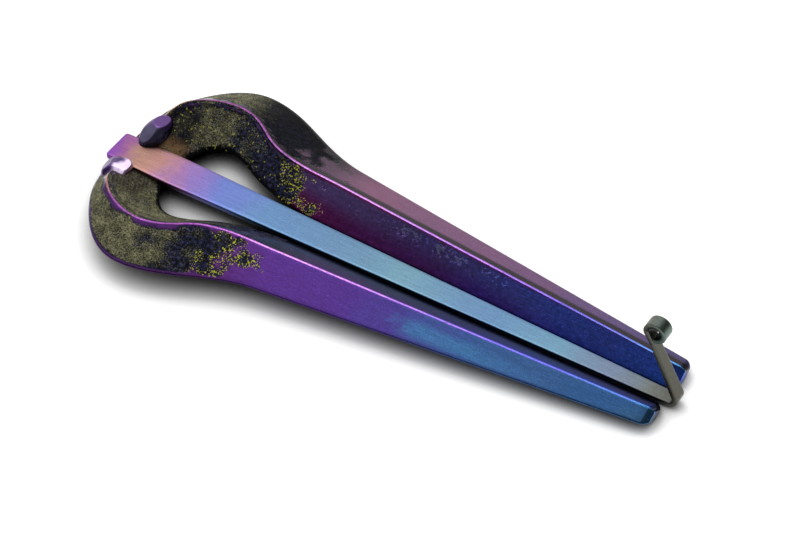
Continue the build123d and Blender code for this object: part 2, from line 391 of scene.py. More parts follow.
def half_bar(tree, given):
    """A grid wrapped round the rail net, with rounded corners and straight faces between them."""
    stations = given["Stations"]
    corner_steps = given["Corner Steps"]
    per_corner = maths(tree, "ADD", corner_steps, given["Face Steps"])
    around = product(tree, per_corner, CORNERS)
    along = maths(tree, "SUBTRACT", stations, 1.0)
    columns = maths(tree, "ADD", around, 1.0)
    size = {"Size X": around, "Size Y": along, "Vertices X": columns, "Vertices Y": stations}
    grid = add_node(tree, "GeometryNodeMeshGrid", size).outputs["Mesh"]

    position = tree.nodes.new("GeometryNodeInputPosition").outputs[0]
    on_grid = coordinates(tree, position)
    column = maths(tree, "ROUND", scaled(tree, around, 0.5, on_grid["X"]))
    station = maths(tree, "ROUND", scaled(tree, along, 0.5, on_grid["Y"]))
    lap = maths(tree, "FLOOR", maths(tree, "DIVIDE", maths(tree, "ADD", column, 0.25), per_corner))
    step = maths(tree, "SUBTRACT", column, product(tree, lap, per_corner))

    def look_up(field, kind, ahead):
        """The value of a field at the corner that lies a number of corners ahead."""
        corner = maths(tree, "MODULO", maths(tree, "ADD", lap, ahead), CORNERS)
        index = scaled(tree, corner, stations, station)
        inputs = {"Geometry": given["Geometry"], "Value": field, "Index": index}
        return add_node(tree, "GeometryNodeSampleIndex", inputs, data_type=kind).outputs["Value"]

    here = look_up(position, "FLOAT_VECTOR", 0.0)
    following = look_up(position, "FLOAT_VECTOR", 1.0)
    previous = look_up(position, "FLOAT_VECTOR", CORNERS - 1)
    setback = kept_field(tree, "setback")
    setback_here = look_up(setback, "FLOAT", 0.0)
    ahead = vectors(tree, "NORMALIZE", vectors(tree, "SUBTRACT", following, here))
    behind = vectors(tree, "NORMALIZE", vectors(tree, "SUBTRACT", previous, here))
    arc_start = vectors(tree, "ADD", here, stretched(tree, behind, setback_here))
    arc_end = vectors(tree, "ADD", here, stretched(tree, ahead, setback_here))
    setback_following = stretched(tree, ahead, look_up(setback, "FLOAT", 1.0))
    face_end = vectors(tree, "SUBTRACT", following, setback_following)
    turned = maths(tree, "DIVIDE", step, corner_steps, clamp=True)
    past_corner = maths(tree, "SUBTRACT", step, corner_steps)
    crossed = maths(tree, "DIVIDE", past_corner, given["Face Steps"], clamp=True)
    arc_in = between(tree, arc_start, here, turned)
    arc_out = between(tree, here, arc_end, turned)
    arc = between(tree, arc_in, arc_out, turned)
    face = between(tree, arc_end, face_end, crossed)
    target = between(tree, arc, face, maths(tree, "GREATER_THAN", crossed, 0.0))

    span = vectors(tree, "DISTANCE", arc_end, face_end, "Value")
    inward = maths(tree, "GREATER_THAN", lap, 1.5)
    off_middle = maths(tree, "ABSOLUTE", maths(tree, "SUBTRACT", lap, 1.5))
    upper = maths(tree, "COMPARE", off_middle, 1.5, 0.1)
    from_ridge = product(tree, span, maths(tree, "ABSOLUTE", maths(tree, "SUBTRACT", crossed, inward)))
    to_ridge = scaled(tree, inverse(tree, upper), FAR_FROM_RIDGE, from_ridge)
    to_outer = product(tree, span, maths(tree, "ABSOLUTE", maths(tree, "SUBTRACT", crossed, upper)))
    to_inner = product(tree, span, crossed, upper)
    outer_edges = maths(tree, "MINIMUM", to_ridge, product(tree, to_outer, OUTER_WEAR))
    worn_edge = scaled(tree, inward, maths(tree, "SUBTRACT", to_ridge, outer_edges), outer_edges)
    kept = keep(tree, grid, to_worn_edge=worn_edge, to_ridge=to_ridge, to_inner=to_inner)
    kept = keep(tree, kept, to_outer=to_outer, inward=inward)
    return add_node(tree, "GeometryNodeSetPosition", {"Geometry": kept, "Position": target}).outputs[0]


def with_mirror_half(tree, half):
    """The half and its mirror image about the reed's middle, sewn together."""
    other = add_node(tree, "GeometryNodeTransform", {"Geometry": half, "Scale": (1.0, -1.0, 1.0)}).outputs[0]
    other = add_node(tree, "GeometryNodeFlipFaces", {"Mesh": other}).outputs[0]
    both = tree.nodes.new("GeometryNodeJoinGeometry")
    tree.links.new(half, both.inputs[0])
    tree.links.new(other, both.inputs[0])
    sewn = {"Geometry": both.outputs[0], "Distance": SEAM_WIDTH}
    return add_node(tree, "GeometryNodeMergeByDistance", sewn).outputs[0]


# %% [markdown]
# ## Frame: crust and land
# The bow kept its forge scale: a rough dark crust, thick on the faces and worn through along the edges. The
# nodes work out where it lies, keep that as an attribute for the material, and lift the surface there by a
# few hundredths of a millimetre. Last, the keel is filed to a narrow flat land, on which the harp lies.

# %% Bar nodes: crust and land
CRUST_FULL_X = 19.0
CRUST_END_X = 30.0
CRUST_DEPTH = 0.11
CRUST_RAGGEDNESS = -26.0
EDGE_RAGGEDNESS = 2.4
WORN_WIDTH = (0.25, 0.8)
BORDER_NOISE = (0.45, 4.0)
EDGE_NOISE = (0.6, 4.0)
LUMP_NOISE = (1.5, 5.0)


def with_crust(tree, bar, given):
    """The bar with its crust worked out, kept and lifted."""
    position = tree.nodes.new("GeometryNodeInputPosition").outputs[0]
    bench_x = coordinates(tree, position)["X"]
    border = shifted(tree, bench_x, noise_at(tree, position, *BORDER_NOISE), CRUST_RAGGEDNESS)
    reach = inverse(tree, ramp_up(tree, border, given["Crust Full X"], given["Crust End X"]))
    worn_edge = kept_field(tree, "to_worn_edge")
    frayed_edge = shifted(tree, worn_edge, noise_at(tree, position, *EDGE_NOISE), EDGE_RAGGEDNESS)
    crust = product(tree, reach, ramp_up(tree, frayed_edge, *WORN_WIDTH))
    kept = keep(tree, bar, crust=crust, bench_x=bench_x)
    lumps = maths(tree, "SUBTRACT", noise_at(tree, position, *LUMP_NOISE), 0.5)
    lift = product(tree, lumps, crust, given["Crust Depth"])
    normal = tree.nodes.new("GeometryNodeInputNormal").outputs[0]
    lifted = {"Geometry": kept, "Offset": stretched(tree, normal, lift)}
    return add_node(tree, "GeometryNodeSetPosition", lifted).outputs[0]


def with_land(tree, bar, given):
    """The bar with everything below the resting land filed away."""
    spot = coordinates(tree, tree.nodes.new("GeometryNodeInputPosition").outputs[0])
    land = scaled(tree, spot["X"], given["Land Slope"], given["Land Height"])
    lowest = larger(tree, spot["Z"], land)
    filed = add_node(tree, "ShaderNodeCombineXYZ", {0: spot["X"], 1: spot["Y"], 2: lowest}).outputs[0]
    return add_node(tree, "GeometryNodeSetPosition", {"Geometry": bar, "Position": filed}).outputs[0]


# %% Frame bar
BAR_SOCKETS = {
    "Geometry": "NodeSocketGeometry",
    "Stations": "NodeSocketInt",
    "Corner Steps": "NodeSocketInt",
    "Face Steps": "NodeSocketInt",
    "Crust Full X": "NodeSocketFloat",
    "Crust End X": "NodeSocketFloat",
    "Crust Depth": "NodeSocketFloat",
    "Land Height": "NodeSocketFloat",
    "Land Slope": "NodeSocketFloat",
    "Steel": "NodeSocketMaterial",
}


def bar_nodes():
    """Builds the node tree that turns the rail net into the rounded, mirrored, crusted bar."""
    tree = bpy.data.node_groups.new("rounded bar", "GeometryNodeTree")
    tree.is_modifier = True
    tree.interface.new_socket("Geometry", in_out="OUTPUT", socket_type="NodeSocketGeometry")
    for name, kind in BAR_SOCKETS.items():
        tree.interface.new_socket(name, in_out="INPUT", socket_type=kind)
    given = tree.nodes.new("NodeGroupInput").outputs
    bar = with_mirror_half(tree, half_bar(tree, given))
    bar = with_land(tree, with_crust(tree, bar, given), given)
    bar = add_node(tree, "GeometryNodeSetShadeSmooth", {"Geometry": bar}).outputs[0]
    bar = add_node(tree, "GeometryNodeRealizeInstances", {"Geometry": bar}).outputs[0]
    bar = add_node(tree, "GeometryNodeSetMaterial", {"Geometry": bar, "Material": given["Steel"]}).outputs[0]
    tree.links.new(bar, tree.nodes.new("NodeGroupOutput").inputs[0])
    return tree


def through_nodes(mesh, tree, values):
    """Runs a mesh through a node tree with these inputs and returns the finished mesh."""
    maker = bpy.data.objects.new(mesh.name + "_maker", mesh)
    bpy.context.scene.collection.objects.link(maker)
    modifier = maker.modifiers.new("nodes", "NODES")
    modifier.node_group = tree
    for item in tree.interface.items_tree:
        if item.in_out == "INPUT" and item.name in values:
            modifier[item.identifier] = values[item.name]
    graph = bpy.context.evaluated_depsgraph_get()
    made = maker.evaluated_get(graph)
    finished = bpy.data.meshes.new_from_object(made, preserve_all_data_layers=True, depsgraph=graph)
    maker.modifiers.clear()
    bpy.data.objects.remove(maker)
    return finished


def piece_of(name, mesh):
    """Turns a mesh from bench millimetres into the model's place and makes it a piece."""
    mesh.transform(bench)
    mesh.name = name
    piece = bpy.data.objects.new(name, mesh)
    bpy.context.scene.collection.objects.link(piece)
    return piece


frame_steel = bpy.data.materials.new("frame_steel")
bar_inputs = {
    "Stations": len(rails[0]),
    "Corner Steps": CORNER_STEPS,
    "Face Steps": FACE_STEPS,
    "Crust Full X": CRUST_FULL_X,
    "Crust End X": CRUST_END_X,
    "Crust Depth": CRUST_DEPTH,
    "Land Height": REST_LAND_DEPTH - half_height(0),
    "Land Slope": height_fall,
    "Steel": frame_steel,
}
frame_bar = piece_of("frame_bar", through_nodes(net, bar_nodes(), bar_inputs))
print("frame bar:", len(frame_bar.data.polygons), "faces")

# %% [markdown]
# ## Ears
# The smith raises a lug on each side of the seat and hammers it over the reed's edge. The two never match:
# hammer blows leave flat facets. Each ear is a ball, squared where the lug has corners, then flattened by a
# few blows, each a direction and a depth, and last stretched along the crown.

# %% Ears
FAR_EAR = {
    "middle": (3.6, 3.9, 0.65),
    "size": (1.75, 2.8, 1.35),
    "squareness": 0.0,
    "turn_degrees": -15,
    "slope_degrees": 20,
    "blows": [((-0.1, -0.45, 0.9), 0.18), ((0.05, 0.6, 0.8), 0.15), ((0.95, 0.0, 0.3), 0.1)],
}
NEAR_EAR = {
    "middle": (3.2, -4.2, 0.1),
    "size": (1.8, 2.35, 1.4),
    "squareness": 0.3,
    "turn_degrees": 13,
    "slope_degrees": -15,
    "blows": [((0.3, 0.1, 0.95), 0.1), ((0.1, -0.8, 0.6), 0.1), ((-0.7, -0.1, 0.7), 0.0)],
}
BLOW_FLATNESS = 0.93
DIMPLE_DEPTH = 0.02
DIMPLE_SCALE = 2.0


def hammered_ear(name, middle, size, squareness, turn_degrees, slope_degrees, blows):
    """A lug as a squared and stretched ball, flattened by blows given as a direction and a depth."""
    shape = bmesh.new()
    bmesh.ops.create_icosphere(shape, subdivisions=5, radius=1)
    for vertex in shape.verts:
        vertex.co = [math.copysign(abs(part) ** (1 - squareness), part) for part in vertex.co]
    for direction, depth in blows:
        blow = Vector(direction).normalized()
        for vertex in shape.verts:
            over = vertex.co.dot(blow) - (1 - depth)
            if over > 0:
                vertex.co -= BLOW_FLATNESS * over * blow
    for vertex in shape.verts:
        dimple = noise.noise(vertex.co * DIMPLE_SCALE + Vector(middle))
        vertex.co += DIMPLE_DEPTH * dimple * vertex.normal
    stretch = Matrix.Diagonal((*size, 1))
    lean = Matrix.Rotation(math.radians(slope_degrees), 4, "X")
    swing = Matrix.Rotation(math.radians(turn_degrees), 4, "Z")
    shape.transform(Matrix.Translation(middle) @ swing @ lean @ stretch)
    mesh = bpy.data.meshes.new(name)
    shape.to_mesh(mesh)
    shape.free()
    mesh.shade_smooth()
    mesh.materials.append(bpy.data.materials.new(name + "_steel"))
    return piece_of(name, mesh)


ear_far = hammered_ear("ear_far", **FAR_EAR)
ear_near = hammered_ear("ear_near", **NEAR_EAR)
print("ears:", len(ear_far.data.polygons), "faces each")

# %% [markdown]
# ## Reed
# The reed is one strip of spring steel: a flat tail, a blade that narrows towards the tips, a tight bend, a
# stem that leans back and an eye rolled forwards. It is drawn as one path in side view with a width at each
# point, so it stays unbroken.

# %% Reed path
TRIGGER_BEND_RADIUS = 0.9
TRIGGER_LEAN = 26.0
TRIGGER_LENGTH = 10.0
TRIGGER_NECK_WIDTH = 1.4
TRIGGER_END_WIDTH = 1.8
EYE_HOLE_RADIUS = 0.8
EYE_TURN = 296.0
EYE_FLARE_RATE = 4.0
TAIL_CORNER_RADIUS = 0.35
TAIL_STATIONS = [0.0, 0.02, 0.05, 0.1, 0.2, TAIL_CORNER_RADIUS]
BLADE_STEPS = 220
STEM_STEPS = 24
ARC_STEP = 6.0


def reed_path():
    """Side view of the strip's middle line, as (x, z, direction in degrees)."""
    middle = -REED_THICKNESS / 2
    path = [(x, middle, 0.0) for x in TAIL_STATIONS]
    blade_start = TAIL_STATIONS[-1]
    for step in range(1, BLADE_STEPS + 1):
        path.append((blade_start + (BEND_START_X - blade_start) * step / BLADE_STEPS, middle, 0.0))

    def roll(radius, degrees):
        """Carries the path on round an arc, to the left if degrees is positive."""
        x, z, start = path[-1]
        side = 1 if degrees > 0 else -1
        centre_x = x - side * radius * math.sin(math.radians(start))
        centre_z = z + side * radius * math.cos(math.radians(start))
        count = round(abs(degrees) / ARC_STEP)
        for step in range(1, count + 1):
            now = start + degrees * step / count
            across = math.radians(now)
            next_x = centre_x + side * radius * math.sin(across)
            next_z = centre_z - side * radius * math.cos(across)
            path.append((next_x, next_z, now))

    roll(TRIGGER_BEND_RADIUS, 90 + TRIGGER_LEAN)
    x, z, way = path[-1]
    for step in range(1, STEM_STEPS + 1):
        run = TRIGGER_LENGTH * step / STEM_STEPS
        path.append((x + run * math.cos(math.radians(way)), z + run * math.sin(math.radians(way)), way))
    roll(EYE_HOLE_RADIUS + REED_THICKNESS / 2, -EYE_TURN)
    return path


def strip_half_width(along):
    """Half the strip's width: round tail corners, a taper to the trigger's neck and a flare at the eye."""
    if along < REED_TAPER_START:
        half = (REED_TAIL_WIDTH + (REED_ROOT_WIDTH - REED_TAIL_WIDTH) * along / REED_TAPER_START) / 2
    elif along < BEND_START_X:
        half = reed_half_width(along)
    else:
        up_stem = (along - BEND_START_X) / TRIGGER_LENGTH
        neck = REED_TIP_WIDTH + min(1, up_stem) * (TRIGGER_NECK_WIDTH - REED_TIP_WIDTH)
        flare = min(1, max(0, EYE_FLARE_RATE * (up_stem - 1)))
        half = (neck + flare * (TRIGGER_END_WIDTH - TRIGGER_NECK_WIDTH)) / 2
    if along < TAIL_CORNER_RADIUS:
        rise = TAIL_CORNER_RADIUS - along
        half -= TAIL_CORNER_RADIUS - math.sqrt(TAIL_CORNER_RADIUS ** 2 - rise ** 2)
    return half


path = reed_path()
print("reed path:", len(path), "points, eye at", [round(v, 2) for v in path[-1]])

# %% Reed strip
STRIP_EDGE = 0.1
STRIP_NICK = 0.3 * STRIP_EDGE
STRIP_ACROSS = 10


def strip_section(half):
    """Points round the strip's section, as (across, thick), with small bevels on the corners."""
    thick = REED_THICKNESS / 2
    reach = half - STRIP_EDGE
    flat = [reach - 2 * reach * step / STRIP_ACROSS for step in range(STRIP_ACROSS + 1)]
    top = [(half - STRIP_NICK, thick - STRIP_NICK)] + [(y, thick) for y in flat]
    top.append((-half + STRIP_NICK, thick - STRIP_NICK))
    side = [(-half, thick - STRIP_EDGE)]
    upper = [(half, thick - STRIP_EDGE)] + top + side
    return upper + [(-y, -z) for y, z in upper]


def reed_mesh():
    """The strip along its path, closed at both ends, with the distance along it kept for the material."""
    shape = bmesh.new()
    kept = shape.verts.layers.float.new("along")
    inside = shape.verts.layers.float.new("in_eye")
    rings = []
    along = 0.0
    before = path[0]
    for x, z, way in path:
        along += math.hypot(x - before[0], z - before[1])
        before = (x, z)
        up_x = -math.sin(math.radians(way))
        up_z = math.cos(math.radians(way))
        ring = []
        for y, thick in strip_section(strip_half_width(along)):
            vertex = shape.verts.new((x + thick * up_x, y, z + thick * up_z))
            vertex[kept] = along
            vertex[inside] = float(thick < 0 and way < 90)
            ring.append(vertex)
        rings.append(ring)
    for a, b in zip(rings, rings[1:]):
        for i in range(len(a)):
            j = (i + 1) % len(a)
            shape.faces.new((a[i], a[j], b[j], b[i]))
    shape.faces.new(rings[0][::-1])
    shape.faces.new(rings[-1])
    bmesh.ops.recalc_face_normals(shape, faces=shape.faces)
    mesh = bpy.data.meshes.new("reed_strip")
    shape.to_mesh(mesh)
    shape.free()
    mesh.shade_smooth()
    return mesh


reed_steel = bpy.data.materials.new("reed_steel")
reed = piece_of("reed_strip", reed_mesh())
reed.data.materials.append(reed_steel)
print("reed strip:", len(reed.data.polygons), "faces")

# %% [markdown]
# ## Steel
# Steel that has been heated in air shows colours from straw over purple to blue, each for a temperature. The
# bow was hottest and kept its scale; the reed was heated at its root. So the colour follows the distance
# along the piece, with a little noise, as the heat did. Both steels carry fine lengthwise scratches, which
# one shared group makes.

# %% Colour helpers


def linear(value):
    """One screen value, 0 to 255, as the linear value that materials take."""
    share = value / 255
    return share / 12.92 if share <= 0.04045 else ((share + 0.055) / 1.055) ** 2.4


def screen(red, green, blue):
    """A screen colour as a linear colour."""
    return (linear(red), linear(green), linear(blue), 1)


def colour_ramp(tree, value, stops):
    """A row of screen colours along a length, each at its place in millimetres."""
    span = stops[-1][0]
    made = add_node(tree, "ShaderNodeValToRGB", {"Fac": maths(tree, "DIVIDE", value, span)})
    elements = made.color_ramp.elements
    while len(elements) < len(stops):
        elements.new(1.0)
    for element, (place, colour) in zip(elements, stops):
        element.position = place / span
        element.color = screen(*colour)
    return made.outputs["Color"]


def kept_value(tree, name):
    """A value that was kept on the mesh."""
    return add_node(tree, "ShaderNodeAttribute", {}, attribute_name=name).outputs["Fac"]


def mixed(tree, share, a, b, blend="MIX"):
    """Two colours mixed."""
    inputs = {"Fac": share, "Color1": a, "Color2": b}
    return add_node(tree, "ShaderNodeMixRGB", inputs, blend_type=blend).outputs["Color"]


def shaded(tree, colour, shade):
    """A colour made lighter or darker by a value."""
    grey = add_node(tree, "ShaderNodeCombineXYZ", {0: shade, 1: shade, 2: shade}).outputs[0]
    return mixed(tree, 1.0, colour, grey, "MULTIPLY")


def along_axes(tree, place, scale):
    """A place with each axis scaled by itself."""
    return add_node(tree, "ShaderNodeMapping", {"Vector": place, "Scale": scale}).outputs["Vector"]


def millimetres(tree):
    """The place on the piece in millimetres."""
    place = tree.nodes.new("ShaderNodeTexCoord").outputs["Object"]
    return along_axes(tree, place, (1000.0, 1000.0, 1000.0))


def new_steel(material):
    """Clears a material and returns its tree and its shader."""
    material.use_nodes = True
    tree = material.node_tree
    tree.nodes.clear()
    shader = tree.nodes.new("ShaderNodeBsdfPrincipled")
    output = tree.nodes.new("ShaderNodeOutputMaterial")
    tree.links.new(shader.outputs[0], output.inputs["Surface"])
    return tree, shader


def finish_steel(tree, shader, colour, roughness, height, relief):
    """Gives a shader its colour, its roughness and a bump with a strength and a depth in metres."""
    strength, depth = relief
    bump = add_node(tree, "ShaderNodeBump", {"Height": height, "Strength": strength, "Distance": depth})
    tree.links.new(colour, shader.inputs["Base Color"])
    tree.links.new(roughness, shader.inputs["Roughness"])
    tree.links.new(bump.outputs["Normal"], shader.inputs["Normal"])


# %% Shared grain
STREAKS_PER_MM = (0.12, 5.0, 5.0)
TICKS_PER_MM = (0.9, 9.0, 9.0)


def grain_group():
    """Lengthwise scratches: a tone that darkens and lightens the steel, and a height for its bump."""
    tree = bpy.data.node_groups.new("steel grain", "ShaderNodeTree")
    tree.interface.new_socket("Vector", in_out="INPUT", socket_type="NodeSocketVector")
    tree.interface.new_socket("Tone", in_out="OUTPUT", socket_type="NodeSocketFloat")
    tree.interface.new_socket("Height", in_out="OUTPUT", socket_type="NodeSocketFloat")
    given = tree.nodes.new("NodeGroupInput").outputs["Vector"]
    streaks = noise_at(tree, along_axes(tree, given, STREAKS_PER_MM), 1.0, 4.0)
    ticks = noise_at(tree, along_axes(tree, given, TICKS_PER_MM), 1.0, 2.0)
    both = scaled(tree, ticks, 0.5, product(tree, streaks, 0.5))
    put = tree.nodes.new("NodeGroupOutput")
    tree.links.new(both, put.inputs["Tone"])
    tree.links.new(both, put.inputs["Height"])
    return tree


steel_grain = grain_group()


def grained(tree, place):
    """Uses the shared grain in a material, and returns its tone and height."""
    made = add_node(tree, "ShaderNodeGroup", {}, node_tree=steel_grain)
    tree.links.new(place, made.inputs["Vector"])
    return made.outputs["Tone"], made.outputs["Height"]


# %% [markdown]
# ### Frame steel
# The clean faces run from purple at the bow to blue at the tips, redder on the inner faces, and are
# brightest along the ridges, partly where hands and files have polished them and partly as a painted
# highlight. The crust is matt and olive, pitted blue-black, and breaks up into yellow-green flecks at its
# border.

# %% Frame steel: what each point knows
KEPT_VALUES = ("bench_x", "crust", "inward", "to_ridge", "to_inner", "to_outer")
NOISES_PER_MM = {
    "clouds": (0.14, 3.0),
    "patches": (0.42, 5.0),
    "blotch": (0.9, 4.0),
    "mottle": (2.2, 6.0),
    "pits": (3.6, 5.0),
    "grit": (7.0, 6.0),
}
RIDGE_WANDER = 0.2
SIDE_BLUR = 0.5


def frame_marks(tree):
    """The values kept on the bar, noises from coarse to fine, and which face a point is on."""
    place = millimetres(tree)
    marks = SimpleNamespace(place=place)
    for name in KEPT_VALUES:
        setattr(marks, name, kept_value(tree, name))
    for name, (scale, detail) in NOISES_PER_MM.items():
        setattr(marks, name, noise_at(tree, place, scale, detail))
    across = coordinates(tree, place)["Y"]
    marks.from_middle = maths(tree, "ABSOLUTE", across)
    marks.far = ramp_up(tree, across, -SIDE_BLUR, SIDE_BLUR)
    marks.far_inner = product(tree, marks.far, marks.inward)
    marks.far_outer = maths(tree, "SUBTRACT", marks.far, marks.far_inner)
    marks.near_outer = product(tree, inverse(tree, marks.far), inverse(tree, marks.inward))
    marks.by_ridge = shifted(tree, marks.to_ridge, marks.patches, RIDGE_WANDER)
    marks.tone, marks.height = grained(tree, place)
    return marks


# %% [markdown]
# ### Heat colours
# Blued steel takes its colour from a thin film of oxide that grew with the heat. Each face has its own row
# of colours along the bar. The near and far rows of one face differ partly in heat colour and partly as
# painted light, for how each side catches the light, and high on the far inner face a sheen is painted in.
# Two noises push the rows to and fro, so that no border runs straight across. A pale cyan highlight is
# painted on the near outer face.

# %% Frame steel: heat colours
# Near and far rows of one face differ partly as painted light, for how each side catches it.
NEAR_OUTER_COLOURS = [
    (0, (66, 44, 88)), (22, (80, 40, 100)), (30, (88, 52, 132)), (42, (84, 56, 138)), (50, (76, 66, 142)),
    (58, (62, 88, 146)), (66, (62, 96, 146)), (75, (56, 96, 148)), (81, (60, 98, 134)),
]
FAR_OUTER_COLOURS = [
    (0, (60, 40, 60)), (26, (70, 44, 66)), (34, (112, 68, 96)), (60, (100, 66, 106)), (72, (80, 62, 110)),
    (81, (62, 54, 98)),
]
NEAR_INNER_COLOURS = [
    (0, (60, 56, 60)), (26, (84, 80, 108)), (45, (54, 54, 84)), (62, (54, 44, 84)), (81, (40, 44, 90)),
]
FAR_INNER_COLOURS = [
    (0, (40, 26, 46)), (19, (60, 24, 60)), (25, (100, 28, 78)), (34, (86, 34, 92)), (46, (76, 38, 106)),
    (56, (68, 46, 138)), (66, (52, 62, 166)), (81, (40, 84, 176)),
]
# The far inner face near its ridge: heat colour with a painted sheen.
FAR_INNER_HEAT_AND_SHEEN_COLOURS = [
    (0, (60, 44, 70)), (22, (90, 66, 116)), (30, (90, 72, 124)), (46, (80, 66, 122)), (60, (72, 82, 176)),
    (81, (58, 94, 204)),
]
CLOUD_DRIFT = 20.0
MOTTLE_DRIFT = 6.0
LOW_ON_FACE = (2.2, 5.0)
# A pale cyan highlight painted on the near outer face, with its place along and across the face.
NEAR_OUTER_PAINTED_HIGHLIGHT = screen(70, 122, 170)
PAINTED_HIGHLIGHT_ALONG = (48.0, 55.0, 60.0, 67.0)
PAINTED_HIGHLIGHT_ACROSS = (0.7, 2.0, 2.6, 3.9)


def face_colours(tree, marks, warm):
    """The four faces' heat colours, partly painted light, at a place along the bar that the noises shifted.
    """
    # Upper band of the far inner face: heat colour with a painted sheen; lower band: heat colour.
    high = colour_ramp(tree, warm, FAR_INNER_HEAT_AND_SHEEN_COLOURS)
    low = colour_ramp(tree, warm, FAR_INNER_COLOURS)
    down_face = ramp_up(tree, scaled(tree, marks.clouds, 2.0, marks.to_ridge), *LOW_ON_FACE)
    far_inner = mixed(tree, down_face, high, low)
    inner = mixed(tree, marks.far, colour_ramp(tree, warm, NEAR_INNER_COLOURS), far_inner)
    inner = shaded(tree, inner, scaled(tree, marks.mottle, 1.2, 0.4))
    near_outer = colour_ramp(tree, warm, NEAR_OUTER_COLOURS)
    outer = mixed(tree, marks.far, near_outer, colour_ramp(tree, warm, FAR_OUTER_COLOURS))
    # Painted highlight: a band on the near outer face.
    painted_highlight = product(tree, band(tree, warm, *PAINTED_HIGHLIGHT_ALONG), band(tree, marks.to_ridge, *PAINTED_HIGHLIGHT_ACROSS))
    outer = mixed(tree, product(tree, painted_highlight, marks.near_outer, 0.7), outer, NEAR_OUTER_PAINTED_HIGHLIGHT)
    return mixed(tree, marks.inward, outer, inner)


# %% [markdown]
# ### Ridges and scuffs
# Hands and files have polished the ridges in patches, gold at the crown and violet to blue along the arms;
# the bright ridge colour is that polish with a painted highlight on it. Just beside the far ridge, a dark
# reflection is painted on the outer face. On the far inner face a stretch was rubbed dull.

# %% Frame steel: ridges and scuffs
# Ridge colours: partly the polish and partly a painted highlight.
RIDGE_POLISH_AND_HIGHLIGHT_COLOURS = [
    (0, (150, 110, 92)), (5, (196, 150, 104)), (8, (150, 88, 146)), (16, (156, 84, 168)),
    (30, (190, 130, 204)), (50, (160, 110, 206)), (66, (106, 92, 208)), (81, (70, 146, 206)),
]
RIDGE_WIDTH = 0.1
# A dark reflection painted just beside the far arm's ridge, on its outer face.
RIDGE_PAINTED_DARK_REFLECTION = screen(24, 8, 22)
RIDGE_PAINTED_DARK_ACROSS = (0.04, 0.1, 0.8, 1.4)
RIDGE_BRIGHTER_FROM = (18.0, 28.0)
SCUFF = screen(78, 88, 104)
SCUFF_ALONG = (36.0, 42.0, 52.0, 58.0)
SCUFF_ACROSS = (0.3, 0.7, 1.2, 2.2)


def clean_colour(tree, marks):
    """Clean steel: heat colours, polished ridges with painted highlight and dark line, grain and grit."""
    warm = shifted(tree, marks.bench_x, marks.clouds, CLOUD_DRIFT)
    warm = shifted(tree, warm, marks.mottle, MOTTLE_DRIFT)
    clean = face_colours(tree, marks, warm)
    # Painted dark reflection beside the ridge on the far outer face.
    dark_reflection_beside_ridge = product(tree, band(tree, marks.by_ridge, *RIDGE_PAINTED_DARK_ACROSS), marks.far_outer)
    clean = mixed(tree, dark_reflection_beside_ridge, clean, RIDGE_PAINTED_DARK_REFLECTION)
    # On the ridges: polish with a painted highlight, in patches and stronger along the arms.
    on_ridge = inverse(tree, ramp_up(tree, marks.by_ridge, 0.0, RIDGE_WIDTH))
    patchy = ramp_up(tree, maths(tree, "ADD", marks.patches, marks.mottle), 0.7, 1.2)
    rubbed = scaled(tree, ramp_up(tree, marks.bench_x, *RIDGE_BRIGHTER_FROM), 0.3, 0.2)
    polish_and_highlight = product(tree, on_ridge, scaled(tree, patchy, 0.5, rubbed))
    clean = mixed(tree, polish_and_highlight, clean, colour_ramp(tree, warm, RIDGE_POLISH_AND_HIGHLIGHT_COLOURS))
    clean = shaded(tree, clean, scaled(tree, marks.tone, 0.9, 0.55))
    return shaded(tree, clean, scaled(tree, marks.grit, 1.3, 0.35))


def scuff_mask(tree, marks):
    """Where the far inner face was rubbed dull."""
    along = band(tree, marks.bench_x, *SCUFF_ALONG)
    across = band(tree, marks.to_ridge, *SCUFF_ACROSS)
    rubbed = scaled(tree, marks.mottle, 0.7, product(tree, marks.patches, 0.6))
    return product(tree, along, across, ramp_up(tree, rubbed, 0.68, 0.76), marks.far_inner)


# %% [markdown]
# ### Forge scale
# Where the bow was hottest the film grew into scale. Thick scale is olive and powdery, thin scale is
# blue-black, and past the bow there is less of the thick, less again on the far faces. From the shoulder
# on, the far outer face's scale is darkened as painted shade. The border is ragged with grit.

# %% Frame steel: scale
SCALE_OLIVE = screen(122, 120, 92)
SCALE_DARK = screen(18, 19, 24)
SCALE_BLUE = screen(54, 58, 92)
THINNED_FROM = (11.0, 21.0)
FAR_OUTER_SHADE_FROM = (10.0, 15.0)


def scale_colour(tree, marks):
    """The colour of the scale, thick or thin, with painted shade on the far outer face."""
    # Less thick scale past the bow, and less again on the far faces.
    thinned = scaled(tree, marks.far_outer, 0.45, 0.26)
    thinned = product(tree, ramp_up(tree, marks.bench_x, *THINNED_FROM), thinned)
    thinned = scaled(tree, marks.far_inner, 0.14, thinned)
    depth = scaled(tree, marks.patches, 0.9, product(tree, marks.crust, 0.55))
    depth = shifted(tree, depth, marks.grit, 1.1)
    thick = ramp_up(tree, maths(tree, "SUBTRACT", depth, thinned), 0.7, 1.04)
    olive = shaded(tree, SCALE_OLIVE, scaled(tree, marks.pits, 2.2, -0.15))
    olive = shaded(tree, olive, scaled(tree, marks.blotch, 2.4, -0.2))
    olive = mixed(tree, ramp_up(tree, marks.grit, 0.5, 0.39), olive, SCALE_DARK)
    bluish = ramp_up(tree, maths(tree, "ADD", marks.mottle, marks.grit), 0.9, 1.25)
    scale = mixed(tree, thick, mixed(tree, bluish, SCALE_DARK, SCALE_BLUE), olive)
    # Painted shade: from the shoulder on, the far outer face's scale is darkened to three tenths.
    far_outer_painted_shade = product(tree, ramp_up(tree, marks.bench_x, *FAR_OUTER_SHADE_FROM), marks.far_outer)
    return shaded(tree, scale, scaled(tree, far_outer_painted_shade, -0.7, 1.0))


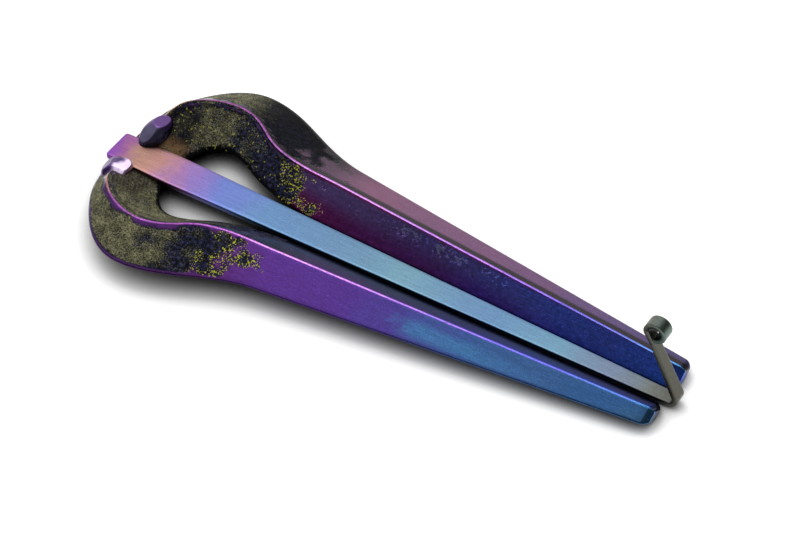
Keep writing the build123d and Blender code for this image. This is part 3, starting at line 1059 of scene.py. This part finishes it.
# %% [markdown]
# ### Traces of work
# The file left slanting rows beside the near ear and bared gold beside the far one. Along the hollow's rim
# at the bow and under the ridges on the inner faces, shade is painted near-black; the same black makes a
# dark band along the far shoulder's outer edge. At its border the scale broke up into yellow-green flecks.

# %% Frame steel: file marks, painted shade and flecks
GROUND_GOLD = screen(128, 98, 66)
FILED_BROWN = screen(76, 62, 52)
FILED_DARK = screen(18, 16, 26)
FILE_WAY = (0.85, -0.53)
FILE_ROWS_PER_MM = 2.2
FILED_ALONG = (10.0, 7.5)
FILED_ACROSS = (10.0, 6.5)
GOLD_ACROSS = (5.0, 3.5)
# Near-black for painted shade and for the far shoulder's dark band.
PAINTED_SHADE_AND_DARK_BAND = screen(12, 12, 15)
RIM_SHADE_WIDTH = (0.45, 0.15)
RIM_SHADE_ALONG = (30.0, 20.0)
SHADE_UNDER_RIDGE = (0.05, 0.15, 0.3, 1.1)
SHOULDER_RIM_WIDTH = (2.2, 1.2)
SHOULDER_ALONG = (11.0, 15.0, 26.0, 31.0)
FLECK = screen(204, 202, 68)
FLECKS_PER_MM = 4.8
SPARKLES_PER_MM = 2.6
FLECKS_FROM = (17.0, 24.0)


def with_file_marks(tree, marks, colour):
    """The colour with the filed ground beside the ears."""
    rows = scaled(tree, marks.from_middle, FILE_WAY[1], product(tree, marks.bench_x, FILE_WAY[0]))
    rows = scaled(tree, marks.mottle, 0.7, rows)
    row = maths(tree, "SINE", product(tree, rows, FILE_ROWS_PER_MM * math.tau))
    near = mixed(tree, ramp_up(tree, row, -0.2, 1.0), FILED_DARK, FILED_BROWN)
    far = mixed(tree, ramp_up(tree, marks.from_middle, *GOLD_ACROSS), FILED_DARK, GROUND_GOLD)
    filed_along = ramp_up(tree, marks.bench_x, *FILED_ALONG)
    filed_across = ramp_up(tree, marks.from_middle, *FILED_ACROSS)
    shown = product(tree, filed_along, filed_across, marks.inward, ramp_up(tree, marks.mottle, 0.3, 0.5), 0.8)
    return mixed(tree, shown, colour, mixed(tree, marks.far, near, far))


def painted_shade_and_dark_band_mask(tree, marks):
    """How much painted shade, and the far shoulder's dark band, a point gets."""
    # Painted shade along the hollow's rim at the bow.
    rim_shade = ramp_up(tree, shifted(tree, marks.to_inner, marks.mottle, 1.2), *RIM_SHADE_WIDTH)
    rim_shade = product(tree, rim_shade, ramp_up(tree, marks.bench_x, *RIM_SHADE_ALONG))
    # Painted shade under the ridges on the inner faces, where scale lies.
    shade_under_ridge = product(tree, band(tree, marks.by_ridge, *SHADE_UNDER_RIDGE), scaled(tree, marks.far, -0.3, 0.9))
    inside = product(tree, larger(tree, rim_shade, product(tree, shade_under_ridge, marks.crust)), marks.inward)
    # A dark band along the far shoulder's outer edge.
    shoulder = ramp_up(tree, shifted(tree, marks.to_outer, marks.mottle, 2.0), *SHOULDER_RIM_WIDTH)
    shoulder = product(tree, shoulder, band(tree, marks.bench_x, *SHOULDER_ALONG), marks.far_outer, 0.9)
    return larger(tree, inside, shoulder)


def fleck_mask(tree, marks, crusted):
    """Flecks along the scale's border on the lit faces, and a few sparkles inside the far arm."""
    spot = ramp_up(tree, noise_at(tree, marks.place, FLECKS_PER_MM, 3.0), 0.56, 0.61)
    border = product(tree, marks.crust, inverse(tree, marks.crust), 4.0)
    lit_faces = inverse(tree, maths(tree, "ABSOLUTE", maths(tree, "SUBTRACT", marks.far, marks.inward)))
    zone = product(tree, border, ramp_up(tree, marks.bench_x, *FLECKS_FROM), lit_faces)
    zone = ramp_up(tree, scaled(tree, marks.patches, 0.8, zone), 0.86, 1.12)
    sparkle = ramp_up(tree, noise_at(tree, marks.place, SPARKLES_PER_MM, 1.0), 0.68, 0.72)
    sparkle = product(tree, sparkle, crusted, marks.far_inner, 0.5)
    return larger(tree, product(tree, spot, zone), sparkle)


# %% [markdown]
# ### Frame steel, put together
# Clean steel comes first, then what lies on it. Scale and flecks are matt and only partly metal, so the same
# masks that colour them also set metal, roughness and relief.

# %% Frame steel: all layers
SCALE_BORDER = (0.22, 0.6)
SCALE_GLOSS = 0.03
FRAME_RELIEF = (0.7, 0.00015)


def make_frame_steel():
    """Layers the frame's colours and gives each its surface."""
    tree, shader = new_steel(frame_steel)
    marks = frame_marks(tree)
    scuffed = scuff_mask(tree, marks)
    colour = mixed(tree, product(tree, scuffed, 0.6), clean_colour(tree, marks), SCUFF)
    crusted = ramp_up(tree, shifted(tree, marks.crust, marks.grit, 1.3), *SCALE_BORDER)
    colour = mixed(tree, crusted, colour, scale_colour(tree, marks))
    colour = with_file_marks(tree, marks, colour)
    # Painted shade along the rim and under the ridges, and the far shoulder's dark band.
    colour = mixed(tree, painted_shade_and_dark_band_mask(tree, marks), colour, PAINTED_SHADE_AND_DARK_BAND)
    fleck = fleck_mask(tree, marks, crusted)
    colour = mixed(tree, fleck, colour, FLECK)

    dull = larger(tree, larger(tree, crusted, fleck), product(tree, scuffed, 0.5))
    tree.links.new(scaled(tree, dull, -0.65, 1.0), shader.inputs["Metallic"])
    shader.inputs["Specular IOR Level"].default_value = SCALE_GLOSS
    roughness = scaled(tree, dull, 0.4, scaled(tree, marks.tone, 0.16, 0.15))
    lumps = product(tree, maths(tree, "ADD", marks.pits, marks.grit), dull)
    height = scaled(tree, marks.height, 0.1, lumps)
    finish_steel(tree, shader, colour, roughness, height, FRAME_RELIEF)


make_frame_steel()
print("frame steel:", len(frame_steel.node_tree.nodes), "nodes")

# %% [markdown]
# ### Ear steel
# The ears are bare hammered steel without scale. Each passes from one colour into another in soft clouds,
# the far one across the harp and the near one along it. The colours are partly heat colour and partly
# painted light: the far ear is greyer on its flat top, and the near ear's end is an almost white painted
# highlight.

# %% Ear steel
EAR_CLOUDS_PER_MM = 0.6
EAR_CLOUD_DRIFT = 1.6
EAR_RELIEF = (0.1, 0.00005)
FAR_EAR_CHANGE = ((3, 3.2, 0), (3, 4.4, 0))
# Far ear: heat colours, the first greyer for its flat top and the second for its slope, as painted light.
FAR_EAR_HEAT_AND_LIGHT_COLOURS = (screen(88, 84, 110), screen(84, 62, 108))
NEAR_EAR_CHANGE = ((2.9, 0, 0), (3.7, 0, 0))
# Near ear: heat colour into an almost white painted highlight at its end.
NEAR_EAR_HEAT_AND_HIGHLIGHT_COLOURS = (screen(70, 48, 96), screen(228, 206, 242))


def make_ear_steel(piece, axis, change, first, second):
    """One colour passes into another along an axis, between two points of the bench; both hold painted light.
    """
    tree, shader = new_steel(piece.data.materials[0])
    place = millimetres(tree)
    tone, height = grained(tree, place)
    clouds = noise_at(tree, place, EAR_CLOUDS_PER_MM)
    cloudy = shifted(tree, coordinates(tree, place)[axis], clouds, EAR_CLOUD_DRIFT)
    change_mm = [1000 * (bench @ Vector(point))["XYZ".index(axis)] for point in change]
    colour = mixed(tree, ramp_up(tree, cloudy, *change_mm), first, second)
    finish_steel(tree, shader, colour, scaled(tree, tone, 0.2, 0.12), height, EAR_RELIEF)
    shader.inputs["Metallic"].default_value = 1.0


make_ear_steel(ear_far, "Y", FAR_EAR_CHANGE, *FAR_EAR_HEAT_AND_LIGHT_COLOURS)
make_ear_steel(ear_near, "X", NEAR_EAR_CHANGE, *NEAR_EAR_HEAT_AND_HIGHLIGHT_COLOURS)

# %% [markdown]
# ### Reed steel
# The reed is brushed along its length. Its root was hottest by the ears, so it goes from purple over gold to
# violet, then through blue and pale cyan to plain grey at the trigger. The inside of the eye is painted
# near-black as shade.

# %% Reed steel
REED_COLOURS = [
    (0, (118, 68, 146)), (2, (132, 84, 128)), (4, (152, 117, 103)), (7, (163, 120, 114)),
    (10, (142, 104, 146)), (13, (124, 104, 164)), (17, (98, 112, 174)), (24, (92, 124, 162)),
    (34, (94, 124, 154)), (44, (104, 139, 156)), (56, (95, 126, 160)), (65, (102, 138, 160)),
    (73, (108, 122, 144)), (78, (102, 108, 106)), (83, (86, 84, 76)), (95, (88, 90, 82)),
    (98, (96, 112, 106)),
]
REED_CLOUDS = (0.3, 4.0)
REED_CLOUD_DRIFT = 7.0
REED_RELIEF = (0.35, 0.00004)
# Painted shade for the inside of the eye.
EYE_PAINTED_SHADE = screen(14, 18, 16)
EYE_FROM = (88.0, 92.0)


def make_reed_steel():
    """Brushed spring steel with its row of heat colours."""
    tree, shader = new_steel(reed_steel)
    place = millimetres(tree)
    along = kept_value(tree, "along")
    tone, height = grained(tree, place)
    warm = shifted(tree, along, noise_at(tree, place, *REED_CLOUDS), REED_CLOUD_DRIFT)
    colour = colour_ramp(tree, warm, REED_COLOURS)
    colour = shaded(tree, colour, scaled(tree, tone, 0.9, 0.45))
    colour = shaded(tree, colour, scaled(tree, noise_at(tree, place, *NOISES_PER_MM["grit"]), 0.9, 0.55))
    # Painted shade inside the rolled eye.
    in_eye = product(tree, kept_value(tree, "in_eye"), ramp_up(tree, along, *EYE_FROM))
    colour = mixed(tree, in_eye, colour, EYE_PAINTED_SHADE)
    finish_steel(tree, shader, colour, scaled(tree, tone, 0.25, 0.24), height, REED_RELIEF)
    shader.inputs["Metallic"].default_value = 1.0


make_reed_steel()
print("reed steel:", len(reed_steel.node_tree.nodes), "nodes")

# %% [markdown]
# ## Floor
# The harp lies on white paper. To the camera and in the steel's reflections the paper glows a little, so
# that it comes out white without more light on the harp. Close under the steel it is darkened, where little
# light gets in.

# %% Floor
FLOOR_HALF = 10.0
PAPER_LIT = 0.9
PAPER_SEEN = 1.2
PAPER_GLOW = 0.4
NOOK_SIZE = 0.02
NOOK_DARK = 0.18


def white_paper():
    """Paper that looks white to the camera and in the steel under this light, and keeps its shadows."""
    paper = bpy.data.materials.new("paper")
    paper.use_nodes = True
    tree = paper.node_tree
    tree.nodes.clear()
    rays = tree.nodes.new("ShaderNodeLightPath").outputs
    seen = larger(tree, rays["Is Camera Ray"], rays["Is Glossy Ray"])
    seen = larger(tree, seen, rays["Is Transmission Ray"])
    open_sky = add_node(tree, "ShaderNodeAmbientOcclusion", {"Distance": NOOK_SIZE}).outputs["AO"]
    nook = maths(tree, "MULTIPLY_ADD", open_sky, 1 + NOOK_DARK, -NOOK_DARK, clamp=True)
    shade = product(tree, scaled(tree, seen, PAPER_SEEN - PAPER_LIT, PAPER_LIT), nook)
    colour = add_node(tree, "ShaderNodeCombineXYZ", {0: shade, 1: shade, 2: shade}).outputs[0]
    matt = add_node(tree, "ShaderNodeBsdfDiffuse", {"Color": colour})
    lit = add_node(tree, "ShaderNodeEmission", {"Strength": product(tree, seen, nook, PAPER_GLOW)})
    both = add_node(tree, "ShaderNodeAddShader", {0: matt.outputs[0], 1: lit.outputs[0]})
    tree.links.new(both.outputs[0], tree.nodes.new("ShaderNodeOutputMaterial").inputs["Surface"])
    return paper


def paper_floor():
    """A large sheet of white paper at table height."""
    corners = [(x * FLOOR_HALF, y * FLOOR_HALF, 0) for x, y in ((-1, -1), (1, -1), (1, 1), (-1, 1))]
    mesh = bpy.data.meshes.new("floor")
    mesh.from_pydata(corners, [], [(0, 1, 2, 3)])
    mesh.materials.append(white_paper())
    floor = bpy.data.objects.new("floor", mesh)
    bpy.context.scene.collection.objects.link(floor)
    return floor


paper_floor()

# %% [markdown]
# ## Light
# A large soft light stands behind the harp on its left, and the room on the camera's side is dim. That
# leaves the inner faces dark, draws a bright line along each ridge and drops a soft shadow towards the
# camera. A small lamp overhead adds glints. A weak fill, strongest from the front, lights matt surfaces alone
# and leaves the reflections as they are. The floor is wide, so the camera sees no wall of this room.

# %% Light
ROOM_DARK = 0.14
SOFTBOX_WAY = Vector((-0.55, 0.52, 0.65)).normalized()
SOFTBOX_BRIGHT = 1.6
SOFTBOX_FULL = 22
SOFTBOX_END = 64
GLINT_WAY = Vector((-0.36, 0.25, 0.9)).normalized()
GLINT_BRIGHT = 4.0
GLINT_FULL = 5
GLINT_END = 11
FILL_WAY = Vector((0.35, -0.8, 0.5)).normalized()
FILL = 0.1
FILL_FRONT = 0.3
FILL_FULL = 0
FILL_END = 90


def towards(tree, way, full, end):
    """1 within an angle of a way to look, fading to 0 at a wider one, both in degrees."""
    looking = tree.nodes.new("ShaderNodeTexCoord").outputs["Generated"]
    facing = vectors(tree, "DOT_PRODUCT", looking, way, "Value")
    return ramp_up(tree, facing, math.cos(math.radians(end)), math.cos(math.radians(full)))


def room():
    """A dim room with one large soft light behind and above the harp."""
    world = bpy.data.worlds.new("room")
    world.use_nodes = True
    tree = world.node_tree
    tree.nodes.clear()
    softbox = towards(tree, SOFTBOX_WAY, SOFTBOX_FULL, SOFTBOX_END)
    glow = scaled(tree, softbox, SOFTBOX_BRIGHT - ROOM_DARK, ROOM_DARK)
    glow = scaled(tree, towards(tree, GLINT_WAY, GLINT_FULL, GLINT_END), GLINT_BRIGHT, glow)
    fill = scaled(tree, towards(tree, FILL_WAY, FILL_FULL, FILL_END), FILL_FRONT, FILL)
    matt = tree.nodes.new("ShaderNodeLightPath").outputs["Is Diffuse Ray"]
    glow = scaled(tree, matt, fill, glow)
    light = add_node(tree, "ShaderNodeBackground", {"Color": (1, 1, 1, 1), "Strength": glow})
    tree.links.new(light.outputs[0], tree.nodes.new("ShaderNodeOutputWorld").inputs["Surface"])
    bpy.context.scene.world = world


room()
bpy.context.scene.view_settings.view_transform = "Standard"

# %% [markdown]
# ## Motion
# The frame and its ears stay together on the frame's body, and the imported frame is hidden. The reed's
# mesh is fixed where it lies, and the imported reed parts are hidden.

for piece in (frame_bar, ear_far, ear_near):
    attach(piece, "frame")
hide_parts("frame")
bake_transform(reed)
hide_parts("reed_root", "reed_tongue")
